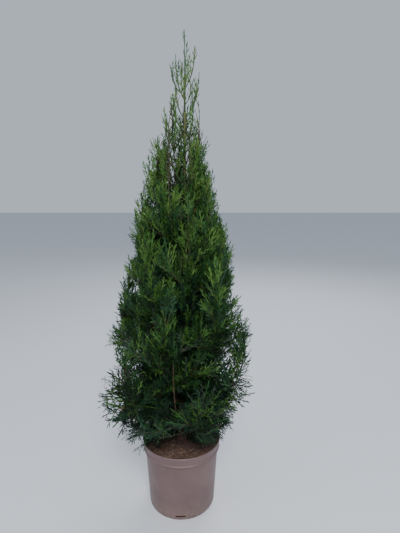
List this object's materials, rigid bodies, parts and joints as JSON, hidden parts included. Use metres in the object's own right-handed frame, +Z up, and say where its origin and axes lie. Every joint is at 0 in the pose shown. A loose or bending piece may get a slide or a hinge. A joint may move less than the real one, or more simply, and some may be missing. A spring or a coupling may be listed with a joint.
{
  "type": "potted conifer",
  "caption": "Young conical evergreen with dense flat sprays, an upright leading shoot and one trunk, in a round tapered nursery pot of smooth taupe plastic.",
  "frame": {"origin": "centre of the pot's flat underside", "axes": "+Z up along the plant's height, -Y towards the front where the compost shows under the foliage"},
  "size_m": [0.3603, 0.3614, 1.154],
  "materials": {
    "pot_plastic": "smooth satin taupe",
    "compost": "moist crumbly compost with litter",
    "bark": "thin fibrous reddish-brown bark",
    "foliage": "soft scale leaves in flat sprays"
  },
  "bodies": {
    "root": {"pot": "pot_plastic", "soil": "compost", "trunk": "bark", "bough_01": "bark", "bough_02": "bark", "bough_03": "bark", "bough_04": "bark", "bough_05": "bark", "bough_06": "bark", "bough_07": "bark", "bough_08": "bark", "bough_09": "bark", "bough_10": "bark", "bough_11": "bark", "bough_12": "bark", "bough_13": "bark", "bough_14": "bark", "bough_15": "bark", "foliage_01": "foliage", "foliage_02": "foliage", "foliage_03": "foliage", "foliage_04": "foliage", "foliage_05": "foliage", "foliage_06": "foliage", "foliage_07": "foliage", "foliage_08": "foliage", "foliage_09": "foliage", "foliage_10": "foliage", "foliage_11": "foliage", "foliage_12": "foliage", "foliage_13": "foliage", "foliage_14": "foliage", "foliage_15": "foliage", "foliage_16": "foliage", "foliage_17": "foliage", "foliage_18": "foliage", "foliage_19": "foliage", "foliage_20": "foliage", "foliage_21": "foliage", "foliage_22": "foliage", "foliage_23": "foliage", "foliage_24": "foliage", "foliage_25": "foliage", "foliage_26": "foliage", "foliage_27": "foliage", "foliage_28": "foliage", "foliage_29": "foliage", "foliage_30": "foliage", "foliage_31": "foliage", "foliage_32": "foliage", "foliage_33": "foliage", "foliage_34": "foliage", "foliage_35": "foliage", "foliage_36": "foliage", "foliage_37": "foliage", "shoot_01": "foliage", "shoot_02": "foliage", "shoot_03": "foliage", "shoot_04": "foliage", "leader": "foliage"}
  },
  "joints": []
}
